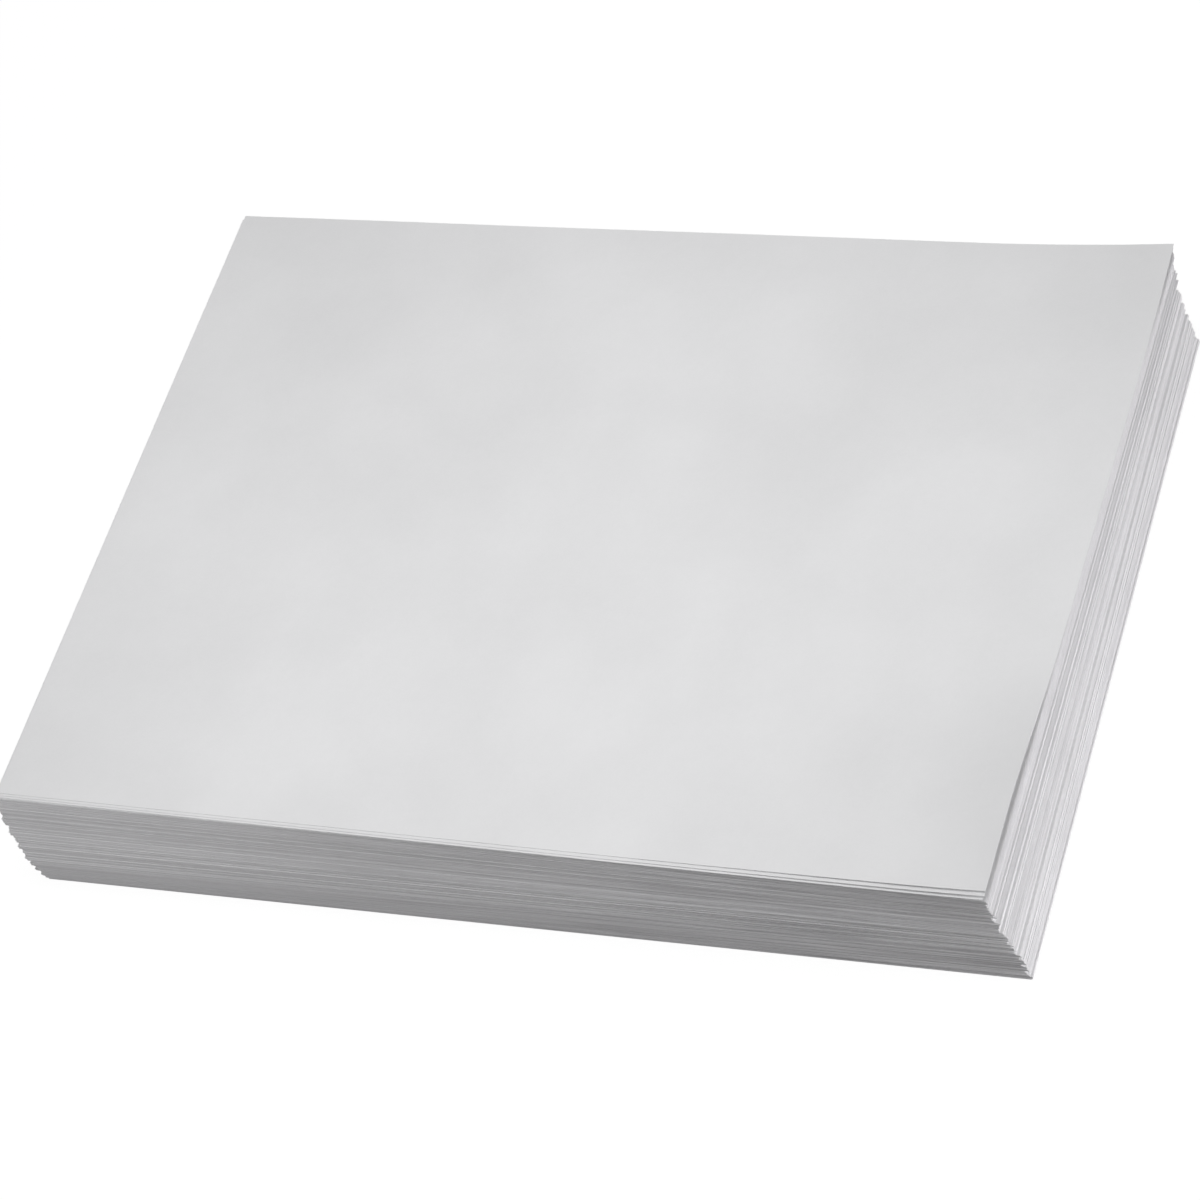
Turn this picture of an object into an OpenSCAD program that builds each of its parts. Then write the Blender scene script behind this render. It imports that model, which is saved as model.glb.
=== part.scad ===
// A pack of plain printing paper with no wrapper: a loose, slightly fanned stack of cut sheets.
// X runs along the long edge, Y along the short edge, and the front of the pack faces -Y.
// The origin is the middle of the bottom sheet's underside.

/* [Sheet] */
// Long edge of a sheet, along X
sheet_l = 297; // [148:1:420]
// Short edge of a sheet, along Y
sheet_w = 210; // [105:1:297]
// Thickness of one sheet
sheet_t = 0.072; // [0.06:0.002:0.2]

/* [Pack] */
// Number of lifts, the handfuls that the pack is counted out in
lifts = 49; // [4:1:49]
// Sheets in a lift
lift_sheets = 10; // [2:1:12]
// Sheets on top of the last lift, counted out one by one
single_sheets = 10; // [1:1:11]
// Air between two pressed sheets
pressed_air = 0.002; // [0.002:0.001:0.02]
// Air between two of the single sheets, which lie loose
loose_air = 0.04; // [0.02:0.005:0.2]
// How much thicker the pack is at its right end, where more air lies between the sheets
right_rise = 4; // [0:0.5:8]

/* [How the sheets lie] */
// Scale of the pack's lean and fan, 0 for a squared-up pack
lean = 1; // [0:0.1:1.5]
// Sheets in a thick clump, which slid as one
thick_clump = 17; // [8:1:40]
// How far thick clumps slid apart along their length
thick_slide = 0.6; // [0:0.05:1]
// Sheets in a thin clump
thin_clump = 5; // [2:1:12]
// How far thin clumps slid apart inside a thick one
thin_slide = 0.4; // [0:0.05:0.6]
// How far single sheets slid apart inside a thin clump
sheet_slide = 0.1; // [0:0.02:0.25]
// Part of each slide that happened across the sheets as well
cross_slide = 0.15; // [0:0.05:1]
// Turn of a thin clump about its front left corner, in degrees, at most
clump_turn = 0.03; // [0:0.01:0.2]
// Seed of the sliding
slide_seed = 11; // [1:1:99]

/* [Curl] */
// Rise of the top sheet's middle
crown = 0.9; // [0:0.1:2]
// Lift of the top sheet's right edge, behind its front corner
edge_curl = 2.4; // [0:0.1:4]
// Width of the strip that curls up there
edge_curl_w = 33; // [15:1:60]
// Length of that strip along the right edge
edge_curl_l = 92; // [40:1:120]
// Distance of its highest point from the front edge
edge_curl_back = 32; // [15:1:50]
// Lift of the top sheet's back right corner
corner_curl = 2.8; // [0:0.1:4]
// Reach of that corner's curl along both edges
corner_curl_reach = 59; // [20:1:90]
// Gap between two parted sheets at the front right corner
parting = 0.6; // [0:0.05:0.8]
// Number of sheets at the top that stand parted there
parted_sheets = 3; // [1:1:6]
// Reach of the parting along the front edge
parting_l = 140; // [60:1:148]
// Reach of the parting along the right edge
parting_w = 95; // [40:1:105]

/* [Hidden] */
paper_white = [0.93, 0.93, 0.92];

// Sheets counted from the bottom, 0 first
sheets = lifts * lift_sheets + single_sheets;
first_single = lifts * lift_sheets;

// Stations of the lean, as [height from 0 at the bottom to 1 at the top, along X, along Y, turn in degrees]
STATIONS = [
    [0.000, 0.0, 0.0, 0.0],
    [0.120, -0.4, -0.4, 0.15],
    [0.300, 0.0, -1.3, 0.2],
    [0.500, -0.8, -0.9, -0.1],
    [0.740, -1.1, 0.6, -0.45],
    [0.940, -0.3, 1.1, -0.85],
    [0.972, 0.1, 1.15, -0.92],
    [0.990, 0.4, 1.3, -1.0],
    [0.996, 0.1, 1.4, -1.1],
    [0.998, 0.4, 2.0, -1.08],
    [1.000, 0.6, 2.9, -1.02],
];

// Lines along which a sheet bends, as parts of its edges from the middle
BEND_X = [-0.5, -0.25, 0, 0.2, 0.35, 0.41, 0.46, 0.5];
BEND_Y = [-0.5, -0.43, -0.36, -0.29, -0.22, -0.1, 0.15, 0.35, 0.5];

// How far each sheet or clump slid, as parts of the longest slide
sheet_x_parts = rands(-1, 1, sheets, slide_seed);
sheet_y_parts = rands(-1, 1, sheets, slide_seed + 1);
thin_x_parts = rands(-1, 1, sheets, slide_seed + 2);
thin_y_parts = rands(-1, 1, sheets, slide_seed + 3);
thick_x_parts = rands(-1, 1, sheets, slide_seed + 4);
thick_y_parts = rands(-1, 1, sheets, slide_seed + 5);
turn_parts = rands(-1, 1, sheets, slide_seed + 6);

function digits(n) = str(n < 100 ? "0" : "", n < 10 ? "0" : "", n);
function lift_name(n) = str("sheets_", digits(n * lift_sheets + 1), "_to_", digits((n + 1) * lift_sheets));
function single_name(i) = str("sheet_", digits(i + 1));

// Lean of sheet i, from column k of the stations
function station(i, k) = lean * lookup(i / (sheets - 1), [for (s = STATIONS) [s[0], s[k]]]);

// The bottom sheet stays on the origin, and the single sheets are in no clump
function slide(i, singles, thins, thicks) =
    i == 0 ? 0
    : sheet_slide * singles[i]
        + (i < first_single ? thin_slide * thins[floor(i / thin_clump)] : 0)
        + (i < first_single ? thick_slide * thicks[floor(i / thick_clump)] : 0);

// Turn of sheet i's clump, which moves the sheet's middle round its front left corner
function swing(i) = i == 0 || i >= first_single ? 0 : clump_turn * turn_parts[floor(i / thin_clump)];

function sheet_x(i) =
    station(i, 1) + slide(i, sheet_x_parts, thin_x_parts, thick_x_parts) - sheet_w / 2 * sin(swing(i));
function sheet_y(i) =
    station(i, 2) + cross_slide * slide(i, sheet_y_parts, thin_y_parts, thick_y_parts)
    + sheet_l / 2 * sin(swing(i));
function sheet_turn(i) = station(i, 3) + swing(i);
function sheet_z(i) =
    min(i, first_single) * (sheet_t + pressed_air) + max(i - first_single, 0) * (sheet_t + loose_air);
// Rise of sheet i for each mm to the right, which grows from none under the bottom sheet
function sheet_slope(i) = right_rise / sheet_l * i / (sheets - 1);

// From 0 where a curl starts to 1 at the edge, a reach further on
function curl(p, edge, reach) = pow(min(max(1 - (edge - p) / reach, 0), 1), 2);
// From 0 at the ends of a stretch to 1 at its middle, smooth at both
function hump(p, middle, half) = abs(p - middle) >= half ? 0 : pow(cos(90 * (p - middle) / half), 2);

// Height of the top sheet above flat, at x and y from its middle
function bend(x, y) =
    crown * hump(x, 0.1 * sheet_l, 0.6 * sheet_l) * hump(y, -0.1 * sheet_w, 0.6 * sheet_w)
    + edge_curl * curl(x, sheet_l / 2, edge_curl_w)
        * hump(y, edge_curl_back - sheet_w / 2, edge_curl_l / 2)
    + corner_curl * curl(x, sheet_l / 2, corner_curl_reach) * curl(y, sheet_w / 2, corner_curl_reach);

// Height of one parted sheet over the next, at x and y from its middle
function part(x, y) = parting * curl(x, sheet_l / 2, parting_l) * curl(-y, sheet_w / 2, parting_w);

// Single sheets are counted from 1, and each bends more than the one below
function bend_share(k) = pow(k / single_sheets, 1.3);
function partings(k) = max(k - single_sheets + parted_sheets, 0);

module flat_sheet() {
    translate([-sheet_l / 2, -sheet_w / 2, 0]) cube([sheet_l, sheet_w, sheet_t]);
}

module bent_sheet(k) {
    nx = len(BEND_X);
    ny = len(BEND_Y);
    layer = nx * ny;
    points = [
        for (t = [0, sheet_t]) for (v = BEND_Y) for (u = BEND_X) let (x = u * sheet_l, y = v * sheet_w)
            [x, y, t + bend_share(k) * bend(x, y) + partings(k) * part(x, y)]
    ];
    // The rim's points run anticlockwise, seen from above
    rim = concat(
        [for (a = [0 : nx - 2]) a],
        [for (b = [0 : ny - 2]) b * nx + nx - 1],
        [for (a = [nx - 1 : -1 : 1]) (ny - 1) * nx + a],
        [for (b = [ny - 1 : -1 : 1]) b * nx]
    );
    under = [
        for (b = [0 : ny - 2]) for (a = [0 : nx - 2]) let (c = b * nx + a)
            each [[c, c + 1, c + nx + 1], [c, c + nx + 1, c + nx]]
    ];
    over = [for (f = under) [layer + f[2], layer + f[1], layer + f[0]]];
    sides = [
        for (k = [0 : len(rim) - 1]) let (p = rim[k], q = rim[(k + 1) % len(rim)])
            each [[p, layer + p, layer + q], [p, layer + q, q]]
    ];
    polyhedron(points, concat(under, over, sides));
}

// Tips a sheet up about its left edge
module sloped(slope) {
    translate([-sheet_l / 2, 0, 0])
        rotate([0, -atan(slope), 0])
            translate([sheet_l / 2, 0, 0]) children();
}

module sheet(i) {
    sloped(sheet_slope(i))
        translate([sheet_x(i), sheet_y(i), sheet_z(i)])
            rotate([0, 0, sheet_turn(i)])
                if (i < first_single) flat_sheet();
                else bent_sheet(i - first_single + 1);
}

// One lift is a group of separate sheets with air between them
module lift(n) {
    color(paper_white)
        for (k = [0 : lift_sheets - 1]) sheet(n * lift_sheets + k);
}

module single_sheet(i) {
    color(paper_white) sheet(i);
}

for (n = [0 : lifts - 1])
    lift(n);
for (i = [first_single : sheets - 1])
    single_sheet(i);
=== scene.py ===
import math

import bpy
from bpy.props import FloatProperty, FloatVectorProperty, IntProperty, PointerProperty
from bpy.types import Operator, Panel, PropertyGroup
from mathutils import Matrix, Vector


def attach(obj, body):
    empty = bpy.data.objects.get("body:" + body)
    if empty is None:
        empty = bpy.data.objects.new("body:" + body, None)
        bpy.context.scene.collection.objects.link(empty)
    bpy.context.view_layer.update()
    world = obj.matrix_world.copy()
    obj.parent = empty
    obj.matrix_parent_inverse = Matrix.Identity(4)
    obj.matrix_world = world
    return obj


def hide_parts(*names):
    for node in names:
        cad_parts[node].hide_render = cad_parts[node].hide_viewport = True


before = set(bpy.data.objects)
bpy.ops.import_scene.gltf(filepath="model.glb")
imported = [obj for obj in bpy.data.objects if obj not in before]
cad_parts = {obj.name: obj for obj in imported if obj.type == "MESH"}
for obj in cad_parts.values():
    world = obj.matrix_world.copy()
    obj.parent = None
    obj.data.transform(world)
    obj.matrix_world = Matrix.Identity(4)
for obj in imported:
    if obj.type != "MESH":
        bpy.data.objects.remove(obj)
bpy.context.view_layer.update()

bl_info = {
    "name": "Pack of Printing Paper",
    "version": (1, 0, 0),
    "blender": (4, 5, 0),
    "location": "3D View > Sidebar > Paper Pack",
    "description": "Dresses the solids of a loose pack of cut paper sheets, and sets its studio",
    "category": "Object",
}

MM = 0.001


def paint(colour):
    """Linear red, green and blue of an sRGB colour such as #EDEDEB."""
    parts = [int(colour[i : i + 2], 16) / 255 for i in (1, 3, 5)]
    return tuple(c / 12.92 if c <= 0.04045 else ((c + 0.055) / 1.055) ** 2.4 for c in parts)


def put(tree, kind, settings=None, links=None):
    """Adds a node with its settings. A link's value is a number, a colour or another node's output."""
    node = tree.nodes.new(kind)
    for name, value in (settings or {}).items():
        setattr(node, name, value)
    for name, value in (links or {}).items():
        if isinstance(value, bpy.types.NodeSocket):
            tree.links.new(value, node.inputs[name])
        else:
            node.inputs[name].default_value = value
    return node


def reckon(tree, operation, *values, clamp=False):
    """A Math node's output, from numbers or outputs."""
    settings = {"operation": operation, "use_clamp": clamp}
    return put(tree, "ShaderNodeMath", settings, dict(enumerate(values))).outputs[0]


def nodes_called(start):
    """Names of the CAD nodes that start with these letters, from the bottom of the pack up."""
    return sorted(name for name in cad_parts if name.startswith(start))


LIFTS = nodes_called("sheets_")
SINGLE_SHEETS = nodes_called("sheet_")
# Sheets in each lift
LIFT_SHEETS = 10
# Power by which a single sheet bends more than the one below
SHARE_POWER = 1.3
# Columns and rows of points on the top sheet, and on each single sheet under it
TOP_GRID = (160, 112)
LOWER_GRID = (80, 56)
COCKLE_SEED = 4
# The floor lies a hair under the pack
FLOOR_LEVEL = -0.0001
WHITE = (1, 1, 1, 1)


# Sizes and colours that a user may change


class PaperFinish(PropertyGroup):
    face_colour: FloatVectorProperty(
        name="Face colour", description="Colour of a sheet's two faces",
        subtype="COLOR", size=3, min=0, max=1, default=paint("#EFEFF0"))
    cut_colour: FloatVectorProperty(
        name="Cut colour", description="Colour of the cut edges, where they are densest",
        subtype="COLOR", size=3, min=0, max=1, default=paint("#EBEAEC"))
    # Colour of the painted shade in the cut edges' darkest streaks
    cut_painted_shade: FloatVectorProperty(
        name="Cut shade", description="Colour of the cut edges in the darkest streaks",
        subtype="COLOR", size=3, min=0, max=1, default=paint("#B4B2B5"))
    fibre_size: FloatProperty(
        name="Fibre size", description="Width of the fibres' grain on a face",
        unit="LENGTH", min=0.0001, max=0.005, default=0.0006)
    cloud_size: FloatProperty(
        name="Cloud size", description="Width of the soft clouds in a face's tone",
        unit="LENGTH", min=0.005, max=0.2, default=0.05)
    streak_height: FloatProperty(
        name="Streak height", description="Height of a streak on the cut edges",
        unit="LENGTH", min=0.0001, max=0.005, default=0.00055)
    streak_length: FloatProperty(
        name="Streak length", description="Length of a streak along the cut edges",
        unit="LENGTH", min=0.005, max=0.5, default=0.06)
    roughness: FloatProperty(
        name="Roughness", description="Roughness of uncoated paper",
        subtype="FACTOR", min=0, max=1, default=0.9)


class SheetShape(PropertyGroup):
    length: FloatProperty(
        name="Length", description="Long edge of a sheet", unit="LENGTH", min=0.1, default=297 * MM)
    width: FloatProperty(
        name="Width", description="Short edge of a sheet", unit="LENGTH", min=0.1, default=210 * MM)
    thickness: FloatProperty(
        name="Thickness", description="Thickness of a sheet", unit="LENGTH", min=0.00005, default=0.072 * MM)
    right_rise: FloatProperty(
        name="Right rise", description="How much thicker the pack is at its right end than at its left",
        unit="LENGTH", min=0, default=4 * MM)
    crown: FloatProperty(
        name="Crown", description="Rise of the top sheet's middle", unit="LENGTH", min=0, default=0.9 * MM)
    edge_curl: FloatProperty(
        name="Edge curl", description="Lift of the top sheet's right edge, behind its front corner",
        unit="LENGTH", min=0, default=2.36 * MM)
    edge_curl_width: FloatProperty(
        name="Edge curl width", description="Width of the strip that curls up there",
        unit="LENGTH", min=0.001, default=33 * MM)
    edge_curl_length: FloatProperty(
        name="Edge curl length", description="Length of that strip along the right edge",
        unit="LENGTH", min=0.001, default=92 * MM)
    edge_curl_back: FloatProperty(
        name="Edge curl place", description="Distance of its highest point from the front edge",
        unit="LENGTH", min=0, default=32 * MM)
    corner_curl: FloatProperty(
        name="Corner curl", description="Lift of the top sheet's back right corner",
        unit="LENGTH", min=0, default=2.8 * MM)
    corner_reach: FloatProperty(
        name="Corner curl reach", description="Reach of that corner's curl along both edges",
        unit="LENGTH", min=0.001, default=59 * MM)
    parting: FloatProperty(
        name="Parting", description="Gap between two parted sheets at the front right corner",
        unit="LENGTH", min=0, default=0.6 * MM)
    parting_length: FloatProperty(
        name="Parting length", description="Reach of the parting along the front edge",
        unit="LENGTH", min=0.001, default=140 * MM)
    parting_width: FloatProperty(
        name="Parting width", description="Reach of the parting along the right edge",
        unit="LENGTH", min=0.001, default=95 * MM)
    cockle: FloatProperty(
        name="Cockle", description="Height of the shallow waves that damp air leaves in the top sheet",
        unit="LENGTH", min=0, default=0.22 * MM)
    cockle_size: FloatProperty(
        name="Cockle size", description="Width of such a wave", unit="LENGTH", min=0.005, default=75 * MM)
    parted_sheets: IntProperty(
        name="Parted sheets", description="Number of sheets at the top that stand parted", min=0, default=3)


class Studio(PropertyGroup):
    floor_size: FloatProperty(
        name="Floor size", description="Side of the square floor", unit="LENGTH", min=1, default=8)
    floor_colour: FloatVectorProperty(
        name="Floor colour", description="Colour of the floor that the lamps see",
        subtype="COLOR", size=3, min=0, max=1, default=paint("#A0A0A0"))
    floor_white: FloatProperty(
        name="Floor white", description="How far the floor shows as plain white", subtype="FACTOR",
        min=0, max=1, default=0.75)
    room_light: FloatProperty(
        name="Room light", description="Strength of the even light from all round",
        min=0, max=1, default=0.2)
    top_power: FloatProperty(
        name="Top power", description="Power of the large lamp over the pack",
        unit="POWER", min=0, default=1.2)
    top_size: FloatProperty(
        name="Top size", description="Side of the large lamp over the pack",
        unit="LENGTH", min=0.05, default=0.3)
    side_power: FloatProperty(
        name="Side power", description="Power of the lamp at the right",
        unit="POWER", min=0, default=7.8)
    side_size: FloatProperty(
        name="Side size", description="Width of the lamp at the right",
        unit="LENGTH", min=0.05, default=0.36)
    fill_power: FloatProperty(
        name="Fill power", description="Power of the weak lamp at the front left",
        unit="POWER", min=0, default=0.53)
    back_power: FloatProperty(
        name="Back power", description="Power of the low lamp at the back left",
        unit="POWER", min=0, default=3.0)
    view_azimuth: FloatProperty(
        name="View azimuth", description="Turn of the camera round the pack from its front",
        subtype="ANGLE", default=math.radians(38.91))
    view_elevation: FloatProperty(
        name="View elevation", description="Angle of the camera above the floor",
        subtype="ANGLE", default=math.radians(50.04))
    view_roll: FloatProperty(
        name="View roll", description="Tilt of the camera about its own axis",
        subtype="ANGLE", default=math.radians(-27.84))
    view_lens: FloatProperty(
        name="View lens", description="Focal length in millimetres on a 36 mm frame",
        min=10, default=129.54)


# The finish of uncoated white paper


def uncoated_paper(look):
    """White paper with no coating: soft clouds and fibres on its faces, and streaks with painted shade along
    its cut edges.
    """
    material = bpy.data.materials.get("uncoated_white_paper")
    if material:
        return material
    material = bpy.data.materials.new("uncoated_white_paper")
    material.use_nodes = True
    tree = material.node_tree
    tree.nodes.clear()
    place = put(tree, "ShaderNodeTexCoord").outputs["Object"]

    def noise(size, detail, scale=(1, 1, 1)):
        """Noise whose grain has a size in metres. A scale below 1 stretches the grain along that axis."""
        vector = put(tree, "ShaderNodeMapping", {"vector_type": "POINT"}, {
            "Vector": place, "Scale": [part / size for part in scale]}).outputs[0]
        return put(tree, "ShaderNodeTexNoise", None, {
            "Vector": vector, "Scale": 1.0, "Detail": detail, "Roughness": 0.55}).outputs["Fac"]

    def ramp(value, low, high, to_low, to_high):
        """Runs evenly from one number to another while the value goes from low to high, and stops there."""
        return put(tree, "ShaderNodeMapRange", None, {
            "Value": value, "From Min": low, "From Max": high,
            "To Min": to_low, "To Max": to_high}).outputs[0]

    clouds = noise(look.cloud_size, 2.0)
    fibres = noise(look.fibre_size, 3.0)
    flecks = noise(look.fibre_size * 5, 2.0)
    flat = look.streak_height / look.streak_length
    streaks = noise(look.streak_height, 3.0, (flat, flat, 1))
    fine_streaks = noise(look.streak_height * 0.35, 2.0, (flat, flat, 1))

    # Faces: tone of the clouds, flecks and fibres together, a little either side of 1
    fleck_tone, fibre_tone = 0.006, 0.012
    tone = ramp(clouds, 0.3, 0.7, 0.955, 1.018)
    tone = reckon(tree, "ADD", tone, ramp(flecks, 0.25, 0.75, -fleck_tone, fleck_tone))
    tone = reckon(tree, "ADD", tone, ramp(fibres, 0.2, 0.8, -fibre_tone, fibre_tone))
    face = put(tree, "ShaderNodeVectorMath", {"operation": "SCALE"}, {
        0: look.face_colour, "Scale": tone}).outputs[0]

    # The normal tells the faces, the long cut edges and the short ones apart
    normal = put(tree, "ShaderNodeTexCoord").outputs["Normal"]
    normal = put(tree, "ShaderNodeSeparateXYZ", None, {0: normal}).outputs
    on_face = reckon(tree, "GREATER_THAN", reckon(tree, "ABSOLUTE", normal["Z"]), 0.6)
    on_end = reckon(tree, "ABSOLUTE", normal["X"])

    # Cut edges: coarse and fine streaks together, partly the edges' own grain and partly painted shade
    # between the sheets, either side of a mean painted shade that darkens to the right
    coarse_part, fine_part = 0.65, 0.35
    streaks_and_painted_shade = reckon(tree, "MULTIPLY", ramp(streaks, 0.4, 0.6, 0, 1), coarse_part)
    streaks_and_painted_shade = reckon(tree, "MULTIPLY_ADD", ramp(fine_streaks, 0.38, 0.62, 0, 1), fine_part, streaks_and_painted_shade)
    streaks_and_painted_shade = reckon(tree, "SUBTRACT", streaks_and_painted_shade, (coarse_part + fine_part) / 2)

    # The painted shade in the streaks is strongest at the front right, fades towards the left and the back,
    # and is weaker on the short ends
    left, right, front, back = -0.1, 0.14, -0.1, 0.08
    along = put(tree, "ShaderNodeSeparateXYZ", None, {0: place}).outputs
    strength = ramp(along["X"], left, right, 0.2, 1.5)
    strength = reckon(tree, "MULTIPLY", strength, ramp(along["Y"], front, back, 1, 0.15))
    strength = reckon(tree, "MULTIPLY", strength, ramp(on_end, 0, 1, 1, 0.4))
    streaks_and_painted_shade = reckon(tree, "MULTIPLY", streaks_and_painted_shade, strength)
    # Painted shade: the cut edges darken evenly from left to right
    streaks_and_painted_shade = reckon(tree, "ADD", streaks_and_painted_shade, ramp(along["X"], left, right, 0.16, 0.66), clamp=True)
    cut = put(tree, "ShaderNodeMix", {"data_type": "RGBA"}, {
        "Factor": streaks_and_painted_shade, 6: (*look.cut_colour, 1), 7: (*look.cut_painted_shade, 1)}).outputs[2]

    colour = put(tree, "ShaderNodeMix", {"data_type": "RGBA"}, {
        "Factor": on_face, 6: cut, 7: face}).outputs[2]

    # A faint bump and change of gloss from the same fibres and flecks
    grain = reckon(tree, "ADD", fibres, reckon(tree, "MULTIPLY", flecks, 0.5))
    bump = put(tree, "ShaderNodeBump", None, {
        "Height": grain, "Strength": 0.12, "Distance": 0.05 * MM}).outputs[0]
    gloss_change = 0.06
    rough = ramp(fibres, 0.2, 0.8, look.roughness - gloss_change, look.roughness + gloss_change)
    shader = put(tree, "ShaderNodeBsdfPrincipled", None, {
        "Base Color": colour, "Roughness": rough, "Normal": bump, "Specular IOR Level": 0.3})
    put(tree, "ShaderNodeOutputMaterial", None, {"Surface": shader.outputs[0]})
    return material


def finish_with(piece, material):
    """Puts one finish on all of a CAD node's faces."""
    for slot in piece.material_slots:
        slot.material = material


# The loose sheets


def loose_sheet_tree():
    """Geometry Nodes that put a sheet at each point, and bend it by the point's own share."""
    tree = bpy.data.node_groups.get("loose_sheets")
    if tree:
        return tree
    tree = bpy.data.node_groups.new("loose_sheets", "GeometryNodeTree")
    sockets = tree.interface
    sockets.new_socket("Geometry", in_out="INPUT", socket_type="NodeSocketGeometry")
    for name in ("Length", "Width", "Thickness", "Crown", "Edge Curl", "Edge Curl Width",
                 "Edge Curl Length", "Edge Curl Place", "Corner Curl", "Corner Reach", "Parting",
                 "Parting Length", "Parting Width", "Cockle", "Cockle Size"):
        sockets.new_socket(name, in_out="INPUT", socket_type="NodeSocketFloat")
    for name in ("Columns", "Rows", "Seed"):
        sockets.new_socket(name, in_out="INPUT", socket_type="NodeSocketInt")
    sockets.new_socket("Material", in_out="INPUT", socket_type="NodeSocketMaterial")
    sockets.new_socket("Geometry", in_out="OUTPUT", socket_type="NodeSocketGeometry")
    given = put(tree, "NodeGroupInput").outputs

    def work_out(operation, *values, clamp=False):
        """A Math node's output in this tree."""
        return reckon(tree, operation, *values, clamp=clamp)

    def times(first, second):
        """Product of two numbers or outputs."""
        return reckon(tree, "MULTIPLY", first, second)

    def upwards(height):
        """A vector that points straight up by a height."""
        return put(tree, "ShaderNodeCombineXYZ", None, {"Z": height}).outputs[0]

    def read(name, kind="FLOAT"):
        """What an attribute holds at each point."""
        reader = put(tree, "GeometryNodeInputNamedAttribute", {"data_type": kind}, {"Name": name})
        return reader.outputs[0]

    half_length = times(given["Length"], 0.5)
    half_width = times(given["Width"], 0.5)

    # One flat sheet, with each point's place on it kept
    size = put(tree, "ShaderNodeCombineXYZ", None, {
        "X": given["Length"], "Y": given["Width"], "Z": given["Thickness"]}).outputs[0]
    flat = put(tree, "GeometryNodeMeshCube", None, {
        "Size": size, "Vertices X": given["Columns"], "Vertices Y": given["Rows"],
        "Vertices Z": 2}).outputs[0]
    flat = put(tree, "GeometryNodeTransform", None, {
        "Geometry": flat, "Translation": upwards(times(given["Thickness"], 0.5))}).outputs[0]
    flat = put(tree, "GeometryNodeStoreNamedAttribute", {"data_type": "FLOAT_VECTOR", "domain": "POINT"}, {
        "Geometry": flat, "Name": "place_on_sheet",
        "Value": put(tree, "GeometryNodeInputPosition").outputs[0]}).outputs[0]
    turn = put(tree, "ShaderNodeCombineXYZ", None, {"Z": read("turn")}).outputs[0]
    laid = put(tree, "GeometryNodeInstanceOnPoints", None, {
        "Points": given["Geometry"], "Instance": flat, "Rotation": turn}).outputs[0]
    laid = put(tree, "GeometryNodeRealizeInstances", None, {"Geometry": laid}).outputs[0]

    # Shapes of the bends, each from 0 to 1
    place = read("place_on_sheet", "FLOAT_VECTOR")
    xyz = put(tree, "ShaderNodeSeparateXYZ", None, {0: place}).outputs
    x, y = xyz["X"], xyz["Y"]

    def curl(distance, reach, power=2.0):
        """Share of the reach that is left at a distance from the edge, raised to a power."""
        left = work_out("SUBTRACT", 1.0, work_out("DIVIDE", distance, reach), clamp=True)
        return work_out("POWER", left, power)

    def hump(position, middle, half):
        """Squared cosine, 1 at the middle and 0 from half on."""
        part = work_out("DIVIDE", work_out("SUBTRACT", position, middle), half)
        part = work_out("MINIMUM", work_out("MAXIMUM", part, -1.0), 1.0)
        return work_out("POWER", work_out("COSINE", times(part, math.pi / 2)), 2.0)

    from_right = work_out("SUBTRACT", half_length, x)
    from_back = work_out("SUBTRACT", half_width, y)
    from_front = work_out("ADD", half_width, y)

    # The crown's top lies a little to the front right, and the crown ends at the left and back edges
    crown_off, crown_reach = 0.1, 0.6
    crown = times(
        hump(x, times(given["Length"], crown_off), times(given["Length"], crown_reach)),
        hump(y, times(given["Width"], -crown_off), times(given["Width"], crown_reach)))
    edge = times(
        curl(from_right, given["Edge Curl Width"], power=3.0),
        hump(from_front, given["Edge Curl Place"], times(given["Edge Curl Length"], 0.5)))
    corner = times(curl(from_right, given["Corner Reach"]), curl(from_back, given["Corner Reach"]))
    parted = times(curl(from_right, given["Parting Length"]), curl(from_front, given["Parting Width"]))

    # Cockle: shallow waves, the same in each loose sheet, and none where the edge and the corner curl most
    waves = put(tree, "ShaderNodeTexNoise", {"noise_dimensions": "4D"}, {
        "Vector": place, "W": given["Seed"], "Scale": work_out("DIVIDE", 1.0, given["Cockle Size"]),
        "Detail": 1.5, "Roughness": 0.45}).outputs[0]
    flat_below, steepness = 0.25, 2.0
    waves = work_out("SUBTRACT", waves, flat_below, clamp=True)
    waves = work_out("MULTIPLY", waves, steepness, clamp=True)
    waves = times(waves, work_out("SUBTRACT", 1.0, work_out("MAXIMUM", corner, edge)))

    rise = times(given["Crown"], crown)
    rise = work_out("MULTIPLY_ADD", given["Edge Curl"], edge, rise)
    rise = work_out("MULTIPLY_ADD", given["Corner Curl"], corner, rise)
    rise = work_out("MULTIPLY_ADD", given["Cockle"], waves, rise)
    rise = times(read("share"), rise)
    opened = times(times(given["Parting"], parted), read("partings"))
    rise = work_out("ADD", rise, opened)

    # The tip of each sheet, up to the right, about its left edge
    lifted = put(tree, "ShaderNodeVectorMath", {"operation": "ADD"}, {
        0: put(tree, "GeometryNodeInputPosition").outputs[0], 1: upwards(rise)}).outputs[0]
    hinge = put(tree, "ShaderNodeCombineXYZ", None, {"X": times(half_length, -1.0)}).outputs[0]
    tipped = put(tree, "ShaderNodeVectorRotate", {"rotation_type": "Y_AXIS"}, {
        "Vector": lifted, "Center": hinge, "Angle": read("tip")}).outputs[0]
    bent = put(tree, "GeometryNodeSetPosition", None, {"Geometry": laid, "Position": tipped}).outputs[0]

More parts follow.
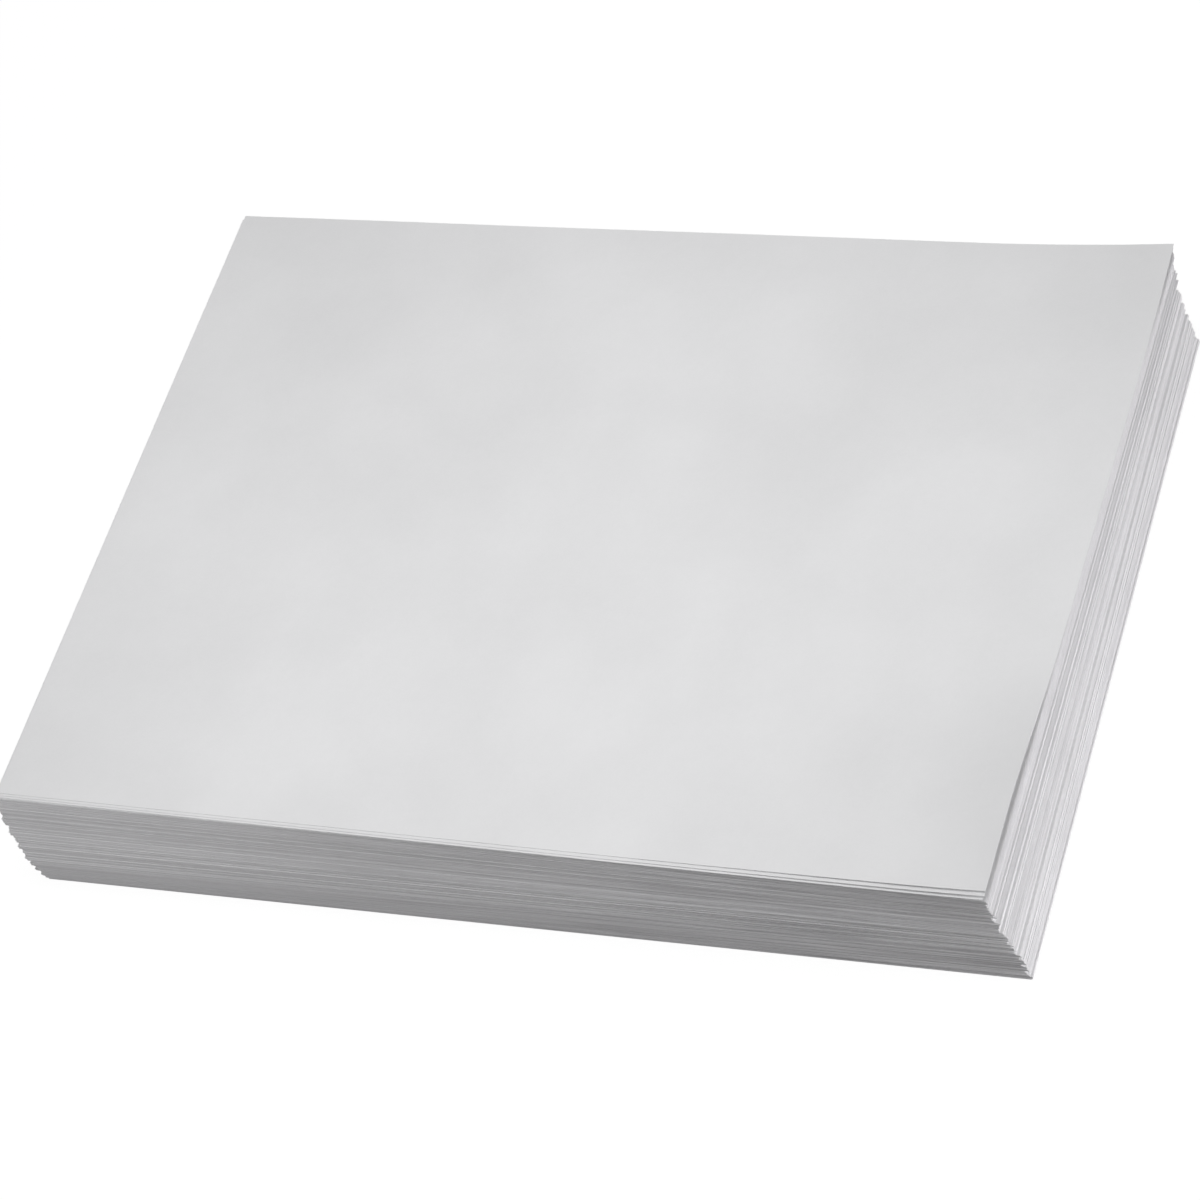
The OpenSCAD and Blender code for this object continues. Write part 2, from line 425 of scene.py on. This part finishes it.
    # Smooth faces with a sharp rim, where two faces meet at more than this angle in radians
    rim_angle = 1.0
    bent = put(tree, "GeometryNodeSetShadeSmooth", {"domain": "FACE"}, {
        "Geometry": bent, "Shade Smooth": True}).outputs[0]
    angle = put(tree, "GeometryNodeInputMeshEdgeAngle").outputs["Unsigned Angle"]
    rim = put(tree, "FunctionNodeCompare", {"operation": "GREATER_THAN"}, {0: angle, 1: rim_angle}).outputs[0]
    bent = put(tree, "GeometryNodeSetShadeSmooth", {"domain": "EDGE"}, {
        "Geometry": bent, "Selection": rim, "Shade Smooth": False}).outputs[0]
    done = put(tree, "GeometryNodeSetMaterial", None, {
        "Geometry": bent, "Material": given["Material"]}).outputs[0]
    put(tree, "NodeGroupOutput", None, {"Geometry": done})
    return tree


def tip_of(number, shape):
    """Angle by which a single sheet, numbered from 1 at the bottom, is tipped about its left edge."""
    below = LIFT_SHEETS * len(LIFTS)
    slope = shape.right_rise / shape.length * (below + number - 1) / (below + len(SINGLE_SHEETS) - 1)
    return -math.atan(slope)


def place_of(node, tip, shape):
    """Middle of a sheet's underside and its turn, as they are before it is tipped up."""
    hinge = Matrix.Translation((-shape.length / 2, 0, 0))
    level = hinge @ Matrix.Rotation(-tip, 4, "Y") @ hinge.inverted()
    points = [level @ vertex.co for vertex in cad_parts[node].data.vertices]
    # Front left, front right, back right and back left
    ways = ((-1, -1), (1, -1), (1, 1), (-1, 1))
    corners = [max(points, key=lambda point: a * point.x + b * point.y) for a, b in ways]
    middle = sum(corners, Vector()) / len(corners)
    front_edge = corners[1] - corners[0]
    underside = min(point.z for point in points)
    return Vector((middle.x, middle.y, underside)), math.atan2(front_edge.y, front_edge.x)


def loose_piece(number, columns, rows, shape, look):
    """A single sheet, numbered from 1 at the bottom, bent as it lies."""
    node = SINGLE_SHEETS[number - 1]
    name = f"loose_{node}"
    tip = tip_of(number, shape)
    middle, turn = place_of(node, tip, shape)
    mesh = bpy.data.meshes.new(name)
    mesh.from_pydata([middle], [], [])
    values = {
        "turn": turn,
        "tip": tip,
        "share": (number / len(SINGLE_SHEETS)) ** SHARE_POWER,
        "partings": float(max(number - len(SINGLE_SHEETS) + shape.parted_sheets, 0)),
    }
    for key, value in values.items():
        mesh.attributes.new(key, "FLOAT", "POINT").data[0].value = value
    piece = bpy.data.objects.new(name, mesh)
    bpy.context.scene.collection.objects.link(piece)
    tree = loose_sheet_tree()
    modifier = piece.modifiers.new("loose_sheets", "NODES")
    modifier.node_group = tree
    inputs = {
        "Length": shape.length, "Width": shape.width, "Thickness": shape.thickness, "Crown": shape.crown,
        "Edge Curl": shape.edge_curl, "Edge Curl Width": shape.edge_curl_width,
        "Edge Curl Length": shape.edge_curl_length, "Edge Curl Place": shape.edge_curl_back,
        "Corner Curl": shape.corner_curl, "Corner Reach": shape.corner_reach, "Parting": shape.parting,
        "Parting Length": shape.parting_length, "Parting Width": shape.parting_width,
        "Cockle": shape.cockle, "Cockle Size": shape.cockle_size,
        "Columns": columns, "Rows": rows, "Seed": COCKLE_SEED, "Material": uncoated_paper(look),
    }
    for item in tree.interface.items_tree:
        if item.in_out == "INPUT" and item.name in inputs:
            modifier[item.identifier] = inputs[item.name]
    bpy.context.view_layer.update()
    baked = bpy.data.meshes.new_from_object(piece.evaluated_get(bpy.context.evaluated_depsgraph_get()))
    piece.modifiers.clear()
    piece.data = baked
    baked.name = name
    if len(baked.polygons) < columns * rows:
        raise RuntimeError(f"{name} has only {len(baked.polygons)} faces")
    for spent in (*values, "place_on_sheet"):
        baked.attributes.remove(baked.attributes[spent])
    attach(piece, "root")
    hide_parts(node)


class PAPERPACK_OT_lifts(Operator):
    """Give the lifts of flat sheets the finish of uncoated paper"""
    bl_idname = "paper_pack.lifts"
    bl_label = "Finish Lifts"

    def execute(self, context):
        paper = uncoated_paper(context.scene.paper_finish)
        for node in LIFTS:
            finish_with(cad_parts[node], paper)
        return {"FINISHED"}


class PAPERPACK_OT_single_sheets(Operator):
    """Make the single sheets at the top, with their curled edge, curled corner, parting and cockle"""
    bl_idname = "paper_pack.single_sheets"
    bl_label = "Make Single Sheets"

    def execute(self, context):
        scene = context.scene
        paper = uncoated_paper(scene.paper_finish)
        for number, node in enumerate(SINGLE_SHEETS, 1):
            finish_with(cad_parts[node], paper)
            columns, rows = TOP_GRID if number == len(SINGLE_SHEETS) else LOWER_GRID
            loose_piece(number, columns, rows, scene.sheet_shape, scene.paper_finish)
        return {"FINISHED"}


# The studio


def lamp(name, power, width, height, place, target):
    """A flat lamp at a place, turned to a target."""
    light = bpy.data.lights.new(name, "AREA")
    light.energy = power
    light.shape = "RECTANGLE"
    light.size = width
    light.size_y = height
    stand = bpy.data.objects.new(name, light)
    bpy.context.scene.collection.objects.link(stand)
    stand.location = place
    stand.rotation_euler = (Vector(target) - Vector(place)).to_track_quat("-Z", "Y").to_euler()


def seen_by_camera(tree):
    """1 for what the camera sees, also in a gloss or through glass, and 0 for light on its way."""
    path = put(tree, "ShaderNodeLightPath").outputs
    seen = reckon(tree, "MAXIMUM", path["Is Camera Ray"], path["Is Glossy Ray"])
    return reckon(tree, "MAXIMUM", seen, path["Is Transmission Ray"])


def floor_finish(studio):
    """Matt grey for the lamps, mixed with plain white where the camera sees it, so the shadow stays."""
    material = bpy.data.materials.new("pale_floor")
    material.use_nodes = True
    tree = material.node_tree
    tree.nodes.clear()
    matt = put(tree, "ShaderNodeBsdfDiffuse", None, {"Color": (*studio.floor_colour, 1)}).outputs[0]
    # Above 1, because the grey takes up the rest of the mix
    white_strength = 1.27
    white = put(tree, "ShaderNodeEmission", None, {
        "Color": WHITE, "Strength": white_strength}).outputs[0]
    share = reckon(tree, "MULTIPLY", seen_by_camera(tree), studio.floor_white)
    both = put(tree, "ShaderNodeMixShader", None, {0: share, 1: matt, 2: white}).outputs[0]
    put(tree, "ShaderNodeOutputMaterial", None, {"Surface": both})
    return material


class PAPERPACK_OT_stage(Operator):
    """Set the pale floor, the room light, the lamps and the camera"""
    bl_idname = "paper_pack.stage"
    bl_label = "Set Stage"

    def execute(self, context):
        scene = context.scene
        studio = scene.paper_studio
        half = studio.floor_size / 2
        corners = ((-half, -half), (half, -half), (half, half), (-half, half))
        mesh = bpy.data.meshes.new("floor")
        mesh.from_pydata([(x, y, FLOOR_LEVEL) for x, y in corners], [], [(0, 1, 2, 3)])
        floor = bpy.data.objects.new("floor", mesh)
        scene.collection.objects.link(floor)
        mesh.materials.append(floor_finish(studio))

        world = bpy.data.worlds.new("room")
        scene.world = world
        world.use_nodes = True
        tree = world.node_tree
        tree.nodes.clear()
        room = put(tree, "ShaderNodeBackground", None, {
            "Color": WHITE, "Strength": studio.room_light}).outputs[0]
        white = put(tree, "ShaderNodeBackground", None, {"Color": WHITE, "Strength": 1.0}).outputs[0]
        both = put(tree, "ShaderNodeMixShader", None, {
            0: seen_by_camera(tree), 1: room, 2: white}).outputs[0]
        put(tree, "ShaderNodeOutputWorld", None, {"Surface": both})

        lamp("top_lamp", studio.top_power, width=studio.top_size, height=studio.top_size,
             place=(-0.025, -0.03, 0.49), target=(-0.025, -0.03, 0))
        lamp("side_lamp", studio.side_power, width=studio.side_size, height=0.22,
             place=(0.86, -0.12, 0.13), target=(0.15, -0.06, 0.03))
        lamp("fill_lamp", studio.fill_power, width=0.3, height=0.3,
             place=(-0.42, -0.55, 0.25), target=(-0.1, -0.1, 0.02))
        lamp("back_lamp", studio.back_power, width=0.4, height=0.16,
             place=(-0.72, 0.76, 0.1), target=(-0.1, 0.06, 0.03))

        # Ways back to the camera, and to the right and down in its picture, before and after its roll
        az, el, roll = studio.view_azimuth, studio.view_elevation, studio.view_roll
        back = Vector((math.sin(az) * math.cos(el), -math.cos(az) * math.cos(el), math.sin(el)))
        right = (-back).cross(Vector((0, 0, 1))).normalized()
        down = (-back).cross(right)
        turned_right = right * math.cos(roll) - down * math.sin(roll)
        turned_down = right * math.sin(roll) + down * math.cos(roll)
        # The place of the pack's origin in the camera's own axes
        origin = Vector((5.73, 3.44, 1237.4)) * MM
        place = -(turned_right * origin.x + turned_down * origin.y - back * origin.z)
        camera = bpy.data.objects.new("camera", bpy.data.cameras.new("camera"))
        scene.collection.objects.link(camera)
        axes = Matrix((turned_right, -turned_down, back)).transposed()
        camera.matrix_world = Matrix.Translation(place) @ axes.to_4x4()
        camera.data.sensor_width = 36
        camera.data.lens = studio.view_lens
        camera.data.clip_start = 0.05
        camera.data.clip_end = 50
        scene.camera = camera
        scene.view_settings.view_transform = "Standard"
        return {"FINISHED"}


class PAPERPACK_PT_panel(Panel):
    bl_label = "Paper Pack"
    bl_idname = "PAPERPACK_PT_panel"
    bl_space_type = "VIEW_3D"
    bl_region_type = "UI"
    bl_category = "Paper Pack"

    def draw(self, context):
        layout = self.layout
        scene = context.scene
        for operator, settings in (
            (PAPERPACK_OT_lifts, scene.paper_finish),
            (PAPERPACK_OT_single_sheets, scene.sheet_shape),
            (PAPERPACK_OT_stage, scene.paper_studio),
        ):
            box = layout.box()
            for name in settings.__annotations__:
                box.prop(settings, name)
            box.operator(operator.bl_idname)


CLASSES = (
    PaperFinish, SheetShape, Studio, PAPERPACK_OT_lifts, PAPERPACK_OT_single_sheets,
    PAPERPACK_OT_stage, PAPERPACK_PT_panel,
)


def register():
    for cls in CLASSES:
        bpy.utils.register_class(cls)
    bpy.types.Scene.paper_finish = PointerProperty(type=PaperFinish)
    bpy.types.Scene.sheet_shape = PointerProperty(type=SheetShape)
    bpy.types.Scene.paper_studio = PointerProperty(type=Studio)


def unregister():
    del bpy.types.Scene.paper_studio
    del bpy.types.Scene.sheet_shape
    del bpy.types.Scene.paper_finish
    for cls in reversed(CLASSES):
        bpy.utils.unregister_class(cls)


def main():
    register()
    bpy.ops.paper_pack.stage()
    bpy.ops.paper_pack.lifts()
    bpy.ops.paper_pack.single_sheets()


if __name__ == "__main__":
    main()
